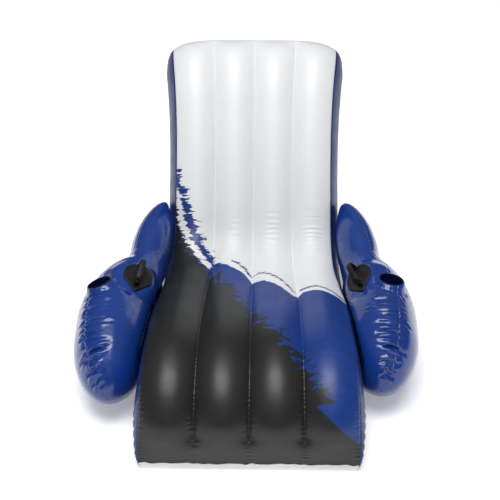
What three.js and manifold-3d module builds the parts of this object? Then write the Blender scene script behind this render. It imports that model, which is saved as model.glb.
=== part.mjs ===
// Inflatable reclining pool float: a chaise-shaped air mattress with printed top, blue side walls and
// internal I-beam webs, two inflated arms with a cup holder and a grab handle each, and three air valves.
// Millimetres, +Z up. The float faces -Y, and +X is the sitter's left. The origin is on the floor, on the
// mattress's centre line, under the front of the backrest.
import * as THREE from 'three';
import { mergeVertices } from 'three/addons/utils/BufferGeometryUtils.js';
import Module from 'manifold-3d';

const wasm = await Module();
wasm.setup();

// ---- driving dimensions -------------------------------------------------------------------------
const FILM = 1.2; // film thickness as modelled; the real vinyl is about 0.38
const GAP = 0.4; // clearance between neighbouring pieces
const TUBES = 4; // air tubes across the mattress
const TUBE_RISE = 38; // how far a tube's crest stands above its weld lines
const WALL_BULGE = 44; // how far a side wall swells outward

// Mattress stations from the front seam to the head seam:
// weld line on the upper side (y, z), weld line on the lower side (y, z), half width.
const STATIONS = [
  [-878, 40, -878, 37, 379],
  [-856, 134, -862, 5, 377],
  [-802, 225, -780, 0, 375],
  [-710, 290, -680, 0, 374],
  [-590, 318, -580, 0, 373],
  [-440, 306, -440, 0, 373],
  [-280, 276, -290, 0, 372],
  [-110, 248, -120, 0, 358],
  [40, 245, 90, 0, 343],
  [160, 305, 290, 38, 337],
  [262, 430, 440, 185, 335],
  [364, 582, 556, 358, 334],
  [466, 735, 662, 520, 337],
  [560, 865, 748, 665, 346],
  [650, 940, 805, 765, 358],
  [728, 960, 828, 855, 362],
  [808, 928, 812, 924, 350],
];
const LENGTH_STEPS = 30;
const TUBE_STEPS = 4; // facets across one tube
const CROWN = 26; // how far the head end stands above its side seams, besides the tubes
const WEB_FIRST = 3; // length steps where the I-beam webs start
const WEB_LAST = 27; // and end
const WEB_EDGE = 5; // from the panels' outer faces to a web's edges

// The arms' shared centre line (x, y, z), half width and half height, from the front tip to the rear one.
const ARM_STATIONS = [
  [494, -685, 148, 112, 118],
  [502, -600, 166, 126, 154],
  [510, -500, 180, 140, 180],
  [517, -380, 186, 145, 184],
  [520, -260, 187, 148, 184],
  [508, -150, 193, 136, 180],
  [476, -50, 204, 109, 170],
  [456, 35, 234, 90, 152],
  [442, 125, 282, 100, 138],
  [424, 232, 328, 108, 132],
  [400, 345, 382, 104, 116],
];
const ARM_STEPS = 23;
const ARM_TIP = 0.08; // smallest share of the section kept at an arm's tips
const ARM_BLUNT = { front: 5, rear: 3 }; // how bluntly an arm's ends close; larger is blunter
const STRIP_EASE = [30, 90]; // above a strip an arm stops keeping clear of the wall's whole bulge
const CUP_HOLE = 60; // the arm's hole for a cup is cut this far above and below the lip
const ARM_GAP = 4; // between the arm and the mattress wall, where the joining strip lies
const RELAXED = -100; // the y behind which an arm's length is not stretched

// An arm rests a little rolled, so each has its own seam angle, reach, cup tilt and handle tilt.
// side is +1 for the sitter's left. Angles in degrees above the horizontal or off the vertical.
const ARMS = [
  {
    name: 'left', side: 1, stretch: 0.9, frontSpread: -18, rearSpread: 4, seam: 68,
    cup: { x: 540, y: -242, z: 378, out: 8, back: 6 },
    handle: { x: 422, y: -190, z: 349, inward: 46, forward: 10 },
  },
  {
    name: 'right', side: -1, stretch: 1, frontSpread: 14, rearSpread: -12, seam: 54,
    cup: { x: 588, y: -262, z: 366, out: 22, back: 10 },
    handle: { x: 446, y: -204, z: 355, inward: 22, forward: 10 },
  },
];
const SHEET_SHARE = 1.2 * Math.PI; // how far round the section an arm's upper sheet reaches
const UPPER_STEPS = 13; // facets across the upper sheet
const LOWER_STEPS = 8; // and across the lower one

const CUP = { radius: 45, depth: 116, lip: 52, lifted: 56, flat: 62, blend: 110, sides: 28 };
const HANDLE = {
  halfWidth: 58, rear: 64, shoulder: -26, tip: -84, seat: 1.6, thick: 5, lifted: 56, flat: 88, blend: 122,
  gripWidth: 26, pinRadius: 3.6, pinHeight: 12, lugWidth: 16, lugHeight: 19, clearance: 0.5,
};
const STRIP = { from: -540, to: 40, low: 96, high: 170, steps: 12 };
const ARM_VALVE = { t: 0.42, angle: -0.13 * Math.PI, lifted: 24, flat: 28, blend: 64, size: 1 };
const BODY_VALVE = { t: 0.66, tube: 2, lifted: 34, flat: 38, blend: 82, size: 1.45 };

// ---- materials ----------------------------------------------------------------------------------
const vinyl = (color, roughness = 0.35) =>
  new THREE.MeshStandardMaterial({ color, roughness, metalness: 0 });
const printed = vinyl(0xdfe2e6);
const white = vinyl(0xe6e7e8);
const blue = vinyl(0x1f3c8c, 0.3);
const clear = vinyl(0xd5dbe0, 0.4);
const rubber = vinyl(0x1b1b1d, 0.5);

const root = new THREE.Group();
const place = (name, geometry, material, parent = root) => {
  const mesh = new THREE.Mesh(geometry, material);
  mesh.name = name;
  parent.add(mesh);
  return mesh;
};

// ---- geometry helpers ---------------------------------------------------------------------------
const lerp = THREE.MathUtils.lerp;
const ease = THREE.MathUtils.smoothstep;

const toSolid = (geometry) => {
  const bare = geometry.clone();
  for (const name of ['normal', 'uv']) bare.deleteAttribute(name);
  const merged = mergeVertices(bare, 1e-3);
  return new wasm.Manifold(new wasm.Mesh({
    numProp: 3,
    vertProperties: merged.attributes.position.array,
    triVerts: new Uint32Array(merged.index.array),
  }));
};

const fromSolid = (solid) => {
  const { vertProperties, triVerts, numProp, numVert } = solid.getMesh();
  const position = new Float32Array(numVert * 3);
  for (let i = 0; i < numVert; i++) {
    position.set(vertProperties.subarray(i * numProp, i * numProp + 3), i * 3);
  }
  const geometry = new THREE.BufferGeometry();
  geometry.setAttribute('position', new THREE.BufferAttribute(position, 3));
  geometry.setIndex(new THREE.BufferAttribute(triVerts, 1));
  return geometry;
};

const unite = (...geometries) => fromSolid(geometries.map(toSolid).reduce((a, b) => a.add(b)));
const cut = (geometry, ...tools) => {
  const solid = tools.map(toSolid).reduce((a, b) => a.subtract(b), toSolid(geometry));
  return fromSolid(solid);
};

// A sheet of film whose outer face passes through point(u, v), for u and v from 0 to 1.
const film = (point, across, along, thickness = FILM, flip = false) => {
  const rows = [];
  for (let i = 0; i <= along; i++) {
    rows.push([]);
    for (let j = 0; j <= across; j++) rows[i].push(point(j / across, i / along));
  }
  const at = (i, j) => rows[Math.min(along, Math.max(0, i))][Math.min(across, Math.max(0, j))];
  const inner = rows.map((row, i) => row.map((p, j) => {
    const du = at(i, j + 1).clone().sub(at(i, j - 1));
    const dv = at(i + 1, j).clone().sub(at(i - 1, j));
    const normal = du.cross(dv).normalize().multiplyScalar(flip ? -1 : 1);
    return p.clone().addScaledVector(normal, -thickness);
  }));
  const position = [];
  for (const p of [rows, inner].flat(2)) position.push(p.x, p.y, p.z);
  const index = [];
  const total = (along + 1) * (across + 1);
  const id = (side, i, j) => side * total + i * (across + 1) + j;
  const quad = (a, b, c, d) => (flip ? index.push(a, c, b, a, d, c) : index.push(a, b, c, a, c, d));
  for (let i = 0; i < along; i++) {
    for (let j = 0; j < across; j++) {
      quad(id(0, i, j), id(0, i, j + 1), id(0, i + 1, j + 1), id(0, i + 1, j));
      quad(id(1, i, j), id(1, i + 1, j), id(1, i + 1, j + 1), id(1, i, j + 1));
    }
    quad(id(0, i, 0), id(0, i + 1, 0), id(1, i + 1, 0), id(1, i, 0));
    quad(id(0, i, across), id(1, i, across), id(1, i + 1, across), id(0, i + 1, across));
  }
  for (let j = 0; j < across; j++) {
    quad(id(0, 0, j), id(1, 0, j), id(1, 0, j + 1), id(0, 0, j + 1));
    quad(id(0, along, j), id(0, along, j + 1), id(1, along, j + 1), id(1, along, j));
  }
  const geometry = new THREE.BufferGeometry();
  geometry.setAttribute('position', new THREE.BufferAttribute(new Float32Array(position), 3));
  geometry.setIndex(index);
  return geometry;
};

// A cylinder along Z from low to high.
const rod = (radius, low, high, sides = 20) => new THREE.CylinderGeometry(radius, radius, high - low, sides)
  .rotateX(Math.PI / 2).translate(0, 0, (low + high) / 2);
const block = (x, y, z, cx = 0, cy = 0, cz = 0) => new THREE.BoxGeometry(x, y, z).translate(cx, cy, cz);

// ---- mattress -----------------------------------------------------------------------------------
const upperLine = new THREE.SplineCurve(STATIONS.map((s) => new THREE.Vector2(s[0], s[1])));
const lowerLine = new THREE.SplineCurve(STATIONS.map((s) => new THREE.Vector2(s[2], s[3])));
const widthLine = new THREE.SplineCurve(STATIONS.map((s, i) => new THREE.Vector2(i, s[4])));
const halfWidth = (t) => widthLine.getPoint(t).y;

// How far the air lifts the film off its weld lines at t, falling to nothing at both end seams.
const endFade = (t) => ease(t, 0, 0.1) * (1 - 0.55 * ease(t, 0.84, 0.93)) * (1 - ease(t, 0.94, 1));
const crownFade = (t) => ease(t, 0.8, 0.92) * (1 - ease(t, 0.95, 1));
const arch = (share) => Math.sin(Math.PI * THREE.MathUtils.clamp(share, 0, 1)) ** 0.8;

// A point on the upper or lower panel; across runs from -1 to 1.
const panelPoint = (upper, across, t) => {
  const line = upper ? upperLine : lowerLine;
  const p = line.getPoint(t);
  const tangent = line.getTangent(t);
  const out = upper ? new THREE.Vector2(-tangent.y, tangent.x) : new THREE.Vector2(tangent.y, -tangent.x);
  const share = ((across + 1) / 2) * TUBES;
  const local = share - Math.min(TUBES - 1, Math.floor(share));
  const airborne = upper ? 1 : ease(p.y, 20, 160); // the underside stays flat where it rests on the floor
  const crown = upper ? CROWN * crownFade(t) * (1 - Math.abs(across) ** 5) : 0;
  const rise = (TUBE_RISE * endFade(t) * arch(local) + crown) * airborne;
  return new THREE.Vector3(across * halfWidth(t), p.x + out.x * rise, Math.max(0, p.y + out.y * rise));
};

// A side wall swells less where it is low, at the front.
const wallSwell = (t) => {
  const height = upperLine.getPoint(t).distanceTo(lowerLine.getPoint(t));
  return WALL_BULGE * Math.min(1, height / 250) * lerp(0.7, 1, ease(t, 0.3, 0.6));
};

const wallPoint = (side, share, t) => {
  const top = upperLine.getPoint(t);
  const low = lowerLine.getPoint(t);
  const height = Math.max(1, top.distanceTo(low));
  const edge = Math.min(0.4, (2 * FILM + GAP) / height); // stays clear of both panels' edges
  const v = lerp(edge, 1 - edge, share);
  const bulge = wallSwell(t) * arch(share);
  return new THREE.Vector3(
    side * (halfWidth(t) + FILM + GAP + bulge), lerp(top.x, low.x, v), lerp(top.y, low.y, v));
};

const webPoint = (across, share, t) => {
  const top = upperLine.getPoint(t);
  const low = lowerLine.getPoint(t);
  const edge = WEB_EDGE / top.distanceTo(low);
  const v = lerp(edge, 1 - edge, share);
  return new THREE.Vector3(across * halfWidth(t) + FILM / 2, lerp(top.x, low.x, v), lerp(top.y, low.y, v));
};

const SEAM_T = 0.004; // the panels stop just short of each other at both end seams
const seamT = (v) => lerp(SEAM_T, 1 - SEAM_T, v);
const panel = (upper) => film(
  (u, v) => panelPoint(upper, lerp(-1, 1, u), seamT(v)), TUBES * TUBE_STEPS, LENGTH_STEPS, FILM, !upper);

place('top_panel', panel(true), printed);

// ---- valves -------------------------------------------------------------------------------------
// Sizes of the small valve; a larger one is the same at its size factor.
const VALVE = {
  flange: 21, flangeThick: 1.6, bore: 9.6, stem: 8, hole: 5.6, depth: 17, collar: 11.5, collarThick: 1.5,
  cap: 11, capThick: 2, hinge: 16.5, nose: 6, travel: 15,
};

// Builds one valve in a group whose +Z is the outward normal and whose origin is on the film's outer face.
const valve = (prefix, frame, k) => {
  const group = new THREE.Group();
  group.applyMatrix4(frame);
  root.add(group);
  const v = Object.fromEntries(Object.entries(VALVE).map(([key, value]) => [key, value * k]));
  const base = GAP;
  const top = base + v.flangeThick; // upper face of the flange
  const collarLow = top + GAP;
  const collarTop = collarLow + v.collarThick;
  const flange = cut(rod(v.flange, base, top, 24), rod(v.bore, base - 5, top + 5));
  place(`${prefix}_valve_flange`, flange, clear, group);
  const stem = cut(
    unite(
      rod(v.stem, collarTop - v.depth, collarTop),
      rod(v.collar, collarLow, collarTop),
      block(
        v.hinge - v.stem + 2 * k, 6 * k, v.collarThick,
        (v.hinge + v.stem) / 2, 0, (collarLow + collarTop) / 2,
      ),
    ),
    rod(v.hole, collarTop - v.depth - 5, collarTop + 5),
  );
  place(`${prefix}_valve_stem`, stem, clear, group);
  const capLow = collarTop + GAP;
  const tab = block(8 * k, 7 * k, v.capThick, -v.cap - 2.5 * k, 0, capLow + v.capThick / 2);
  const strap = block(
    v.hinge - v.cap + 4 * k, 5 * k, 0.9 * k,
    (v.hinge + v.cap) / 2 - 0.5 * k, 0, capLow + 0.45 * k,
  );
  const nose = new THREE.CylinderGeometry(v.hole - 0.5 * k, v.hole - 1.6 * k, v.nose, 16)
    .rotateX(Math.PI / 2).translate(0, 0, capLow - v.nose / 2 + 0.2);
  const lid = rod(v.cap, capLow, capLow + v.capThick);
  place(`${prefix}_valve_cap`, unite(lid, tab, strap, nose), clear, group);
  const flapTop = collarTop - v.depth - GAP;
  place(`${prefix}_valve_flap`, rod(v.stem - 0.5 * k, flapTop - 0.8 * k, flapTop, 16), clear, group);
};

// A frame at a point with +Z along the normal and +X as near as it can be to the side given.
const frameAt = (point, normal, side) => {
  const z = normal.clone().normalize();
  const x = side.clone().addScaledVector(z, -side.dot(z)).normalize();
  const y = z.clone().cross(x);
  return new THREE.Matrix4().makeBasis(x, y, z).setPosition(point);
};

const surfaceFrame = (point, u, v, side, flip) => {
  const d = 1e-3;
  const du = point(u + d, v).sub(point(u - d, v));
  const dv = point(u, v + d).sub(point(u, v - d));
  const normal = du.cross(dv).normalize().multiplyScalar(flip ? -1 : 1);
  return frameAt(point(u, v), normal, side);
};

// Lifts a hole through the film along the frame's Z.
const holeTool = (frame, radius) => rod(radius, -30, 30).applyMatrix4(frame);

// The film around a moulding lies flat: points near the pad's centre move onto its plane.
const padAt = (frame, size) => ({
  centre: new THREE.Vector3().setFromMatrixPosition(frame),
  normal: new THREE.Vector3().setFromMatrixColumn(frame, 2),
  lifted: size.lifted,
  flat: size.flat,
  blend: size.blend,
});
const onPad = (p, pad) => {
  const offset = p.clone().sub(pad.centre);
  const height = offset.dot(pad.normal);
  const reach = offset.addScaledVector(pad.normal, -height).length();
  if (Math.abs(height) > pad.blend) return p;
  // The film is pressed down further out than it is lifted.
  const fade = height > 0 ? ease(reach, pad.flat, pad.blend) : ease(reach, pad.lifted, pad.flat + 8);
  return p.clone().addScaledVector(pad.normal, -height * (1 - fade));
};

const bodyValveAcross = ((BODY_VALVE.tube + 0.5) / TUBES) * 2 - 1;
const bodyValveFrame = surfaceFrame(
  (u, v) => panelPoint(false, u, v), bodyValveAcross, BODY_VALVE.t, new THREE.Vector3(1, 0, 0), true);
const bodyPad = padAt(bodyValveFrame, BODY_VALVE);
const bottomFilm = film((u, v) => {
  const p = panelPoint(false, lerp(-1, 1, u), seamT(v));
  return seamT(v) > 0.5 ? onPad(p, bodyPad) : p;
}, TUBES * TUBE_STEPS, LENGTH_STEPS, FILM, true);
place('bottom_panel', cut(bottomFilm, holeTool(bodyValveFrame, VALVE.bore * BODY_VALVE.size)), white);
valve('body', bodyValveFrame, BODY_VALVE.size);

for (const [name, across] of [['left', 0.5], ['centre', 0], ['right', -0.5]]) {
  place(`i_beam_web_${name}`,
    film((u, v) => webPoint(across, u, seamT(lerp(WEB_FIRST, WEB_LAST, v) / LENGTH_STEPS)),
      1, WEB_LAST - WEB_FIRST, FILM), white);
}

// ---- arms ---------------------------------------------------------------------------------------
// The widest the mattress wall gets at a given y, and the plane the arm's inner face lies on.
const wallLimits = Array.from({ length: 81 }, (_, i) => {
  const t = i / 80;
  return { y: upperLine.getPoint(t).x, x: halfWidth(t) + wallSwell(t) + FILM + GAP };
});
const wallLimit = (y) => {
  const next = wallLimits.findIndex((w) => w.y >= y);
  if (next <= 0) return wallLimits[0].x;
  const [a, b] = [wallLimits[next - 1], wallLimits[next]];
  return lerp(a.x, b.x, (y - a.y) / (b.y - a.y));
};

// How far out the mattress reaches at a place beside it: a wall's bulge, or only its weld line above it.
const WALL_CLEAR = 1.25; // the arms lie a little clear of the bulge
const wallSamples = Array.from({ length: 121 }, (_, i) => {
  const t = i / 120;
  const point = upperLine.getPoint(t);
  const tangent = upperLine.getTangent(t);
  const height = Math.max(1, point.distanceTo(lowerLine.getPoint(t)));
  return { point, tangent, height, x: halfWidth(t) + FILM + GAP, swell: wallSwell(t) };
});
const besideWall = (y, z) => {
  const apart = (w) => (w.point.x - y) ** 2 + (w.point.y - z) ** 2;
  const near = wallSamples.reduce((a, b) => (apart(b) < apart(a) ? b : a));
  const below = near.tangent.y * (y - near.point.x) - near.tangent.x * (z - near.point.y);
  return near.x + near.swell * Math.min(1, WALL_CLEAR * arch(below / near.height));
};

const tilted = (x, y, z) => new THREE.Vector3(x, y, z).normalize();
const degrees = THREE.MathUtils.degToRad;

const makeArm = (arm) => {
  const centre = new THREE.CatmullRomCurve3(ARM_STATIONS.map(([x, y, z]) => {
    const spread = lerp(arm.frontSpread, arm.rearSpread, ease(y, -220, -50));
    const stretched = y < RELAXED ? RELAXED + (y - RELAXED) * arm.stretch : y;
    return new THREE.Vector3(x + spread, stretched, z);
  }), false, 'catmullrom', 0.5);
  const wide = new THREE.SplineCurve(ARM_STATIONS.map((s, i) => new THREE.Vector2(i, s[3])));
  const high = new THREE.SplineCurve(ARM_STATIONS.map((s, i) => new THREE.Vector2(i, s[4])));

  // The bare section, before anything presses on it, for the +X side.
  const bare = (angle, t) => {
    const tangent = centre.getTangent(t);
    const across = new THREE.Vector3(1, 0, 0).addScaledVector(tangent, -tangent.x).normalize();
    const up = across.clone().cross(tangent);
    const end = Math.abs(2 * t - 1);
    const blunt = t < 0.5 ? ARM_BLUNT.front : ARM_BLUNT.rear;
    const taper = Math.max(ARM_TIP, Math.sqrt(Math.max(0, 1 - end ** blunt)));
    return centre.getPoint(t)
      .addScaledVector(across, wide.getPoint(t).y * taper * Math.cos(angle))
      .addScaledVector(up, high.getPoint(t).y * taper * Math.sin(angle));
  };

  const { cup, handle } = arm;
  const cupNormal = tilted(Math.tan(degrees(cup.out)), Math.tan(degrees(cup.back)), 1);
  const handleNormal = tilted(-Math.tan(degrees(handle.inward)), -Math.tan(degrees(handle.forward)), 1);
  const cupFrame = frameAt(new THREE.Vector3(cup.x, cup.y, cup.z), cupNormal, new THREE.Vector3(1, 0, 0));
  const handleFrame = frameAt(
    new THREE.Vector3(handle.x, handle.y, handle.z), handleNormal, new THREE.Vector3(0, 1, 0));
  const valveFrame = surfaceFrame(bare, ARM_VALVE.angle, ARM_VALVE.t, new THREE.Vector3(0, 1, 0), true);
  const cupPad = padAt(cupFrame, CUP);
  const handlePad = padAt(handleFrame, HANDLE);
  const valvePad = padAt(valveFrame, ARM_VALVE);

  // The outer face: the bare section with its mouldings' pads, off the floor and off the mattress wall.
  const skin = (angle, t) => {
    let p = bare(angle, t);
    p = onPad(p, valvePad);
    p = onPad(p, handlePad);
    p = onPad(p, cupPad);
    const low = wallLimit(p.y) * (1 - ease(p.z, STRIP.high + STRIP_EASE[0], STRIP.high + STRIP_EASE[1]));
    p.x = Math.max(p.x, low + ARM_GAP, besideWall(p.y, p.z) + ARM_GAP);
    p.z = Math.max(p.z, 0);
    return p;
  };
  return { ...arm, skin, cupFrame, cupNormal, handleFrame, valveFrame };
};

const SEAM_ANGLE = 0.016; // half the gap between an arm's two sheets
const armT = (v) => {
  const s = lerp(0.004, 0.996, v);
  return lerp(s, (1 - Math.cos(Math.PI * s)) / 2, 0.5);
};
const armSheet = (arm, upper) => {
  const seam = degrees(arm.seam);
  const [from, to] = upper ? [seam, seam + SHEET_SHARE] : [seam + SHEET_SHARE, seam + 2 * Math.PI];
  return film((u, v) => {
    const p = arm.skin(lerp(from + SEAM_ANGLE, to - SEAM_ANGLE, u), armT(v));
    p.x *= arm.side;
    return p;
  }, upper ? UPPER_STEPS : LOWER_STEPS, ARM_STEPS, FILM, arm.side > 0);
};

// A cup holder hangs straight down from a rim that follows its pad's tilt.
const followRim = (geometry, normal) => {
  const position = geometry.attributes.position;
  for (let i = 0; i < position.count; i++) {
    const [x, y, z] = [position.getX(i), position.getY(i), position.getZ(i)];
    const share = Math.min(1, 1 + z / CUP.depth);
    position.setZ(i, z - (share * (normal.x * x + normal.y * y)) / normal.z);
  }
  return geometry;
};
const lathe = (points, sides) => {
  const profile = points.map(([r, z]) => new THREE.Vector2(r, z));
  return mergeVertices(new THREE.LatheGeometry(profile, sides).rotateX(Math.PI / 2), 1e-4);
};

const cupParts = (arm) => {
  const { name, side, cup, cupNormal } = arm;
  const normal = new THREE.Vector3(cupNormal.x * side, cupNormal.y, cupNormal.z);
  const group = new THREE.Group();
  group.position.set(side * cup.x, cup.y, cup.z);
  root.add(group);
  const inner = CUP.radius - FILM;
  const low = 2 * GAP;
  const high = low + FILM;
  const wall = lathe([
    [CUP.radius, -CUP.depth], [CUP.radius, low], [CUP.lip, low], [CUP.lip, high],
    [inner, high], [inner, -CUP.depth], [CUP.radius, -CUP.depth],
  ], CUP.sides);
  place(`${name}_cup_wall`, followRim(wall, normal), blue, group);
  const floor = rod(inner - GAP, -CUP.depth, FILM - CUP.depth, CUP.sides);
  place(`${name}_cup_floor`, floor, blue, group);
};

const outline = (points) => {
  const shape = new THREE.Shape();
  shape.moveTo(...points[0]);
  for (const p of points.slice(1)) shape.lineTo(...p);
  shape.closePath();
  return shape;
};

// The grab handle: a teardrop base, point forward, and an arched grip that rocks on a pin at each foot.
const handleParts = (arm) => {
  const h = HANDLE;
  const group = new THREE.Group();
  group.applyMatrix4(arm.handleFrame);
  root.add(group);
  const low = h.seat;
  const top = low + h.thick;
  const pin = top + h.pinHeight;
  const back = h.rear - h.halfWidth;
  const edge = [];
  for (let i = 0; i <= 16; i++) {
    const angle = (Math.PI * i) / 16;
    edge.push([back + h.halfWidth * Math.sin(angle), h.halfWidth * Math.cos(angle)]);
  }
  edge.push([h.shoulder, -h.halfWidth], [h.tip, -7], [h.tip, 7], [h.shoulder, h.halfWidth]);
  const flat = { depth: h.thick, bevelEnabled: false };
  const plate = new THREE.ExtrudeGeometry(outline(edge), flat).translate(0, 0, low);
  const base = [plate];
  for (const foot of [GRIP_FRONT, GRIP_REAR]) {
    const [from, to] = foot.lug;
    const middle = (from + to) / 2;
    base.push(block(to - from, h.lugWidth, h.lugHeight + 1, middle, 0, top + h.lugHeight / 2 - 0.5));
    const [start, end] = foot.pin;
    base.push(new THREE.CylinderGeometry(h.pinRadius, h.pinRadius, end - start, 16)
      .rotateZ(Math.PI / 2).translate((start + end) / 2, 0, pin));
  }
  place(`${arm.name}_handle_base`, unite(...base), rubber, group);
  const arc = new THREE.ExtrudeGeometry(outline(GRIP_OUTLINE), { depth: h.gripWidth, bevelEnabled: false })
    .translate(0, 0, -h.gripWidth / 2).rotateX(Math.PI / 2).translate(0, 0, top);
  const bores = new THREE.CylinderGeometry(h.pinRadius + h.clearance, h.pinRadius + h.clearance, 200, 16)
    .rotateZ(Math.PI / 2).translate(0, 0, pin);
  place(`${arm.name}_handle_grip`, cut(arc, bores), rubber, group);
};

// Along the handle, front to rear, and up from its base: the grip's side outline,
// then the lugs and pins at its feet.
const GRIP_OUTLINE = [
  [-46, 5], [-36, 5], [-36, 21], [-28, 28], [16, 41], [36, 41], [42, 36], [42, 5],
  [52, 5], [52, 42], [44, 50], [18, 50], [-34, 35], [-46, 25],
];
const GRIP_FRONT = { lug: [-54.5, -46.5], pin: [-48, -37] };
const GRIP_REAR = { lug: [52.5, 60.5], pin: [43, 54] };

for (const config of ARMS) {
  const arm = makeArm(config);
  const { name, side, cup } = arm;
  const mirror = new THREE.Matrix4().makeScale(side, 1, 1);
  const mirrored = (frame) => frameAt(
    new THREE.Vector3().setFromMatrixPosition(frame).applyMatrix4(mirror),
    new THREE.Vector3().setFromMatrixColumn(frame, 2).applyMatrix4(mirror),
    new THREE.Vector3().setFromMatrixColumn(frame, 0).applyMatrix4(mirror));
  place(`${name}_side_wall`,
    film((u, v) => wallPoint(side, u, lerp(0.012, 0.988, v)), 4, LENGTH_STEPS, FILM, side < 0), blue);
  const strip = film((u, v) => {
    const y = lerp(STRIP.from, STRIP.to, v);
    return new THREE.Vector3(side * (wallLimit(y) + 2 * FILM), y, lerp(STRIP.low, STRIP.high, u));
  }, 1, STRIP.steps, FILM, side > 0);
  place(`${name}_joining_strip`, strip, blue);

  const cupHole = rod(CUP.radius + GAP, cup.z - CUP_HOLE, cup.z + CUP_HOLE, CUP.sides)
    .translate(side * cup.x, cup.y, 0);
  const valveFrame = mirrored(arm.valveFrame);
  const valveHole = holeTool(valveFrame, VALVE.bore * ARM_VALVE.size);
  place(`${name}_arm_upper_sheet`, cut(armSheet(arm, true), cupHole), blue);
  place(`${name}_arm_lower_sheet`, cut(armSheet(arm, false), cupHole, valveHole), blue);
  cupParts(arm);
  handleParts({ ...arm, side, handleFrame: mirrored(arm.handleFrame) });
  valve(`${name}_arm`, valveFrame, ARM_VALVE.size);
}

export default root;
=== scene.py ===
"""Inflatable reclining pool float: its visible film, mouldings and studio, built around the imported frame.

Lengths in the shape functions are in millimetres, as in the CAD source. They become metres in make_mesh.
The float faces -Y, and side +1 is the sitter's left arm.
"""
import math
from types import SimpleNamespace

import bmesh
import bpy
import numpy as np
from mathutils import Matrix, Vector


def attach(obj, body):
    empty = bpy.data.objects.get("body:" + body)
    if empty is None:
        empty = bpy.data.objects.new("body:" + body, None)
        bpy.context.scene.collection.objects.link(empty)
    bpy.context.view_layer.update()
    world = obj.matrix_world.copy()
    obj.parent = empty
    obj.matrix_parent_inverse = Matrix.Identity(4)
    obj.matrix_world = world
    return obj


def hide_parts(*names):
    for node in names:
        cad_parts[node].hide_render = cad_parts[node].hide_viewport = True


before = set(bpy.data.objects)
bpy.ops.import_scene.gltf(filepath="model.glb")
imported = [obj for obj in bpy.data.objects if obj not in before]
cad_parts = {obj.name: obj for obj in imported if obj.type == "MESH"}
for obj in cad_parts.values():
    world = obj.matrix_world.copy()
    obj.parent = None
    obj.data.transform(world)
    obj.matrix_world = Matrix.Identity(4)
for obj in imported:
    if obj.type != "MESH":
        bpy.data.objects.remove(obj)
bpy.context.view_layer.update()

# ---- driving dimensions, the same as the CAD part's ----------------------------------------------
FILM = 1.2
VISIBLE_FILM = 0.8
GAP = 0.4
TUBES = 4
TUBE_RISE = 38
CROWN = 26
WALL_BULGE = 44
WALL_CLEAR = 1.25  # the arms lie a little clear of the bulge

# Weld line on the upper side (y, z), weld line on the lower side (y, z), half width; front to head.
STATIONS = np.array([
    [-878, 40, -878, 37, 379],
    [-856, 134, -862, 5, 377],
    [-802, 225, -780, 0, 375],
    [-710, 290, -680, 0, 374],
    [-590, 318, -580, 0, 373],
    [-440, 306, -440, 0, 373],
    [-280, 276, -290, 0, 372],
    [-110, 248, -120, 0, 358],
    [40, 245, 90, 0, 343],
    [160, 305, 290, 38, 337],
    [262, 430, 440, 185, 335],
    [364, 582, 556, 358, 334],
    [466, 735, 662, 520, 337],
    [560, 865, 748, 665, 346],
    [650, 940, 805, 765, 358],
    [728, 960, 828, 855, 362],
    [808, 928, 812, 924, 350],
], float)

# An arm's centre line (x, y, z), half width and half height, front tip to rear tip.
ARM_STATIONS = np.array([
    [494, -685, 148, 112, 118],
    [502, -600, 166, 126, 154],
    [510, -500, 180, 140, 180],
    [517, -380, 186, 145, 184],
    [520, -260, 187, 148, 184],
    [508, -150, 193, 136, 180],
    [476, -50, 204, 109, 170],
    [456, 35, 234, 90, 152],
    [442, 125, 282, 100, 138],
    [424, 232, 328, 108, 132],
    [400, 345, 382, 104, 116],
], float)
RELAXED = -100
ARM_GAP = 4
ARM_SOFT = 7
ARM_TIP = 0.02
ARM_BLUNT = dict(front=5, rear=3)  # how bluntly an arm's ends close
SHEET_SHARE = 1.2 * math.pi
ARMS = [
    dict(name="left", side=1, stretch=0.9, front_spread=-18, rear_spread=4, seam=68,
         cup=dict(x=540, y=-242, z=378, out=8, back=6),
         handle=dict(x=422, y=-190, z=349, inward=46, forward=10)),
    dict(name="right", side=-1, stretch=1.0, front_spread=14, rear_spread=-12, seam=54,
         cup=dict(x=588, y=-262, z=366, out=22, back=10),
         handle=dict(x=446, y=-204, z=355, inward=22, forward=10)),
]
CUP = dict(radius=45, depth=116, lip=48.5, lifted=49, flat=51, blend=105, fade=16)
HANDLE = dict(half_width=58, rear=64, shoulder=-26, tip=-84, seat=1.6, thick=5,
              lifted=56, flat=88, blend=122, fade=30, pin_height=12)
ARM_VALVE = dict(t=0.42, angle=-0.13 * math.pi, lifted=24, flat=28, blend=64, fade=16, size=1.0)
BODY_VALVE = dict(t=0.66, tube=2, lifted=34, flat=38, blend=82, fade=20, size=1.45)


# ---- small maths ---------------------------------------------------------------------------------
def ease(x, low, high):
    s = np.clip((np.asarray(x, float) - low) / (high - low), 0, 1)
    return s * s * (3 - 2 * s)


def spline(points, t, open_ends=False):
    """Uniform Catmull-Rom through the points, at t from 0 to 1."""
    points = np.asarray(points, float)
    last = len(points) - 1
    p = np.clip(np.asarray(t, float), 0, 1) * last
    i = np.minimum(np.floor(p).astype(int), last - 1)
    w = (p - i)[..., None]
    a, b = points[i], points[i + 1]
    before, after = points[np.maximum(i - 1, 0)], points[np.minimum(i + 2, last)]
    if open_ends:
        before = np.where((i == 0)[..., None], 2 * points[0] - points[1], before)
        after = np.where((i == last - 1)[..., None], 2 * points[last] - points[last - 1], after)
    v0, v1 = (b - before) / 2, (after - a) / 2
    return (2 * a - 2 * b + v0 + v1) * w**3 + (-3 * a + 3 * b - 2 * v0 - v1) * w**2 + v0 * w + a


def slope(points, t, open_ends=False):
    d = 1e-4
    delta = spline(points, t + d, open_ends) - spline(points, t - d, open_ends)
    return delta / np.linalg.norm(delta, axis=-1, keepdims=True)


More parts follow.
